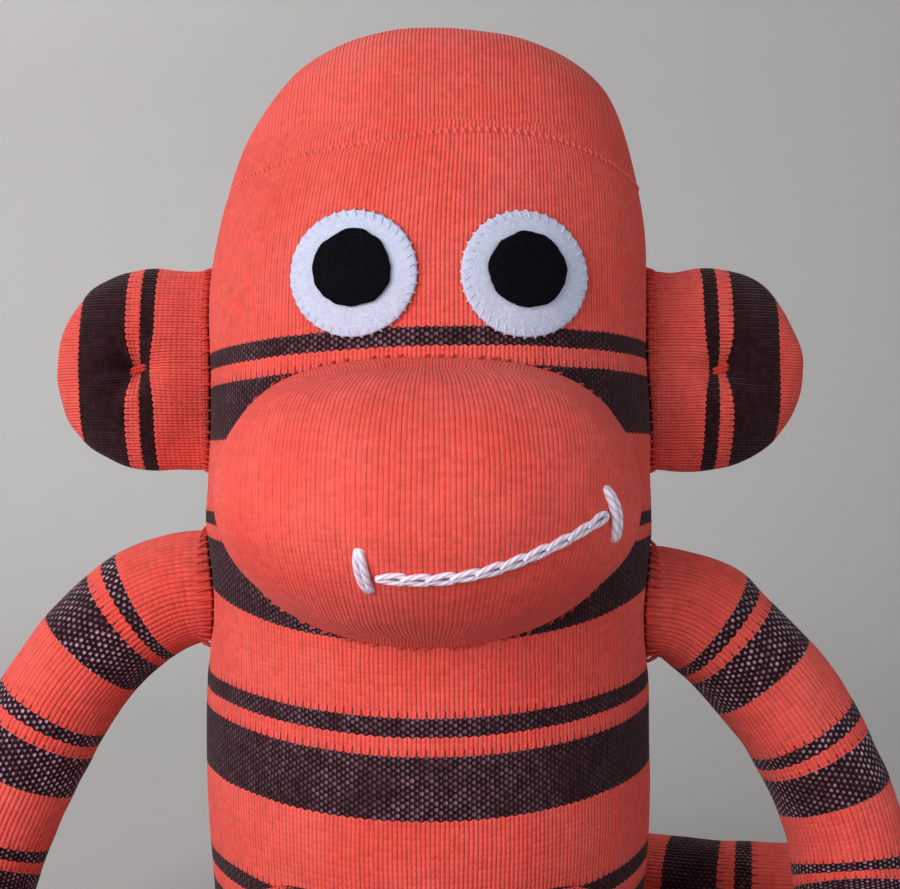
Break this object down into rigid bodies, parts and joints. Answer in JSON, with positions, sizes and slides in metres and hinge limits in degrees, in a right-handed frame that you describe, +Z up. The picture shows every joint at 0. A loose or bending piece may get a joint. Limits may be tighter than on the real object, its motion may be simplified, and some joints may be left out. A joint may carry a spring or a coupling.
{
  "type": "stuffed sock monkey",
  "caption": "Hand-sewn sock monkey in striped rib knit with felt eyes, a padded muzzle, round ears, jointed soft arms and legs and a tail, sitting upright.",
  "frame": {"origin": "centre of the flat seat that the toy sits on", "axes": "+Z up through the crown, -Y the way the face looks, +X the toy's own left"},
  "size_m": [0.2682, 0.2682, 0.219],
  "materials": {
    "striped_knit": "matte rib knit, coral with dark brown stripes",
    "plain_knit": "matte rib knit, plain coral",
    "stuffing": "white polyester fibre",
    "white_felt": "matte wool felt",
    "black_felt": "matte wool felt",
    "white_floss": "stranded cotton floss",
    "coral_thread": "sewing thread"
  },
  "bodies": {
    "torso": {"torso_skin": "striped_knit", "torso_stuffing": "stuffing"},
    "head": {"head_skin": "striped_knit", "head_stuffing": "stuffing", "toe_seam": "plain_knit", "muzzle_skin": "plain_knit", "muzzle_stuffing": "stuffing", "muzzle_stitches": "coral_thread", "eye_white_left": "white_felt", "eye_white_right": "white_felt", "eye_black_left": "black_felt", "eye_black_right": "black_felt", "eye_stitches_left": "white_floss", "eye_stitches_right": "white_floss", "mouth_chain_stitch": "white_floss", "mouth_bar_left": "white_floss", "mouth_bar_right": "white_floss", "ear_stitches_left": "coral_thread", "ear_stitches_right": "coral_thread"},
    "ear_left": {"ear_skin_left": "striped_knit", "ear_stuffing_left": "stuffing", "ear_dimple_thread_left": "coral_thread"},
    "ear_right": {"ear_skin_right": "striped_knit", "ear_stuffing_right": "stuffing", "ear_dimple_thread_right": "coral_thread"},
    "shoulder_left": {"arm_stitches_left": "coral_thread"},
    "upper_arm_left": {"upper_arm_skin_left": "striped_knit", "upper_arm_stuffing_left": "stuffing"},
    "forearm_left": {"forearm_skin_left": "striped_knit", "forearm_stuffing_left": "stuffing", "paw_gather_left": "coral_thread"},
    "shoulder_right": {"arm_stitches_right": "coral_thread"},
    "upper_arm_right": {"upper_arm_skin_right": "striped_knit", "upper_arm_stuffing_right": "stuffing"},
    "forearm_right": {"forearm_skin_right": "striped_knit", "forearm_stuffing_right": "stuffing", "paw_gather_right": "coral_thread"},
    "thigh_left": {"thigh_skin_left": "striped_knit", "thigh_stuffing_left": "stuffing"},
    "shin_left": {"shin_skin_left": "striped_knit", "shin_stuffing_left": "stuffing", "foot_gather_left": "coral_thread"},
    "thigh_right": {"thigh_skin_right": "striped_knit", "thigh_stuffing_right": "stuffing"},
    "shin_right": {"shin_skin_right": "striped_knit", "shin_stuffing_right": "stuffing", "foot_gather_right": "coral_thread"},
    "tail_base": {"tail_base_skin": "striped_knit", "tail_base_stuffing": "stuffing"},
    "tail_tip": {"tail_tip_skin": "striped_knit", "tail_tip_stuffing": "stuffing", "tail_gather": "coral_thread"}
  },
  "joints": [
    {"name": "neck_nod", "type": "hinge", "parent": "torso", "child": "head", "pos_m": [0, 0, 0.085], "axis": [1, 0, 0], "range_deg": [-12, 10]},
    {"name": "ear_fold_left", "type": "hinge", "parent": "head", "child": "ear_left", "pos_m": [0.0562, 0, 0.145], "axis": [0, 0, 1], "range_deg": [-35, 35]},
    {"name": "ear_fold_right", "type": "hinge", "parent": "head", "child": "ear_right", "pos_m": [-0.0562, 0, 0.145], "axis": [0, 0, -1], "range_deg": [-35, 35]},
    {"name": "shoulder_swing_left", "type": "hinge", "parent": "torso", "child": "shoulder_left", "pos_m": [0.061, 0, 0.092], "axis": [-1, 0, 0], "range_deg": [0, 110]},
    {"name": "shoulder_raise_left", "type": "hinge", "parent": "shoulder_left", "child": "upper_arm_left", "pos_m": [0.061, 0, 0.092], "axis": [0, -1, 0], "range_deg": [0, 62]},
    {"name": "elbow_left", "type": "hinge", "parent": "upper_arm_left", "child": "forearm_left", "pos_m": [0.096, 0, 0.0143], "axis": [1, 0, 0], "range_deg": [-30, 78]},
    {"name": "shoulder_swing_right", "type": "hinge", "parent": "torso", "child": "shoulder_right", "pos_m": [-0.0615, 0, 0.0955], "axis": [-1, 0, 0], "range_deg": [0, 110]},
    {"name": "shoulder_raise_right", "type": "hinge", "parent": "shoulder_right", "child": "upper_arm_right", "pos_m": [-0.0615, 0, 0.0955], "axis": [0, 1, 0], "range_deg": [0, 50]},
    {"name": "elbow_right", "type": "hinge", "parent": "upper_arm_right", "child": "forearm_right", "pos_m": [-0.104, 0, 0.0143], "axis": [1, 0, 0], "range_deg": [-30, 78]},
    {"name": "hip_left", "type": "hinge", "parent": "torso", "child": "thigh_left", "pos_m": [0.025, -0.03, 0.02], "axis": [1, 0, 0], "range_deg": [-10, 86]},
    {"name": "knee_left", "type": "hinge", "parent": "thigh_left", "child": "shin_left", "pos_m": [0.03436, -0.108, 0.0185], "axis": [1, 0, 0], "range_deg": [-13, 88]},
    {"name": "hip_right", "type": "hinge", "parent": "torso", "child": "thigh_right", "pos_m": [-0.025, -0.03, 0.02], "axis": [1, 0, 0], "range_deg": [-10, 86]},
    {"name": "knee_right", "type": "hinge", "parent": "thigh_right", "child": "shin_right", "pos_m": [-0.03436, -0.108, 0.0185], "axis": [1, 0, 0], "range_deg": [-13, 88]},
    {"name": "tail_swing", "type": "hinge", "parent": "torso", "child": "tail_base", "pos_m": [0, 0.0586, 0.0142], "axis": [0, 0, 1], "range_deg": [0, 110]},
    {"name": "tail_curl", "type": "hinge", "parent": "tail_base", "child": "tail_tip", "pos_m": [0.075, 0.038, 0.0136], "axis": [0, 0, 1], "range_deg": [-8, 72]}
  ]
}
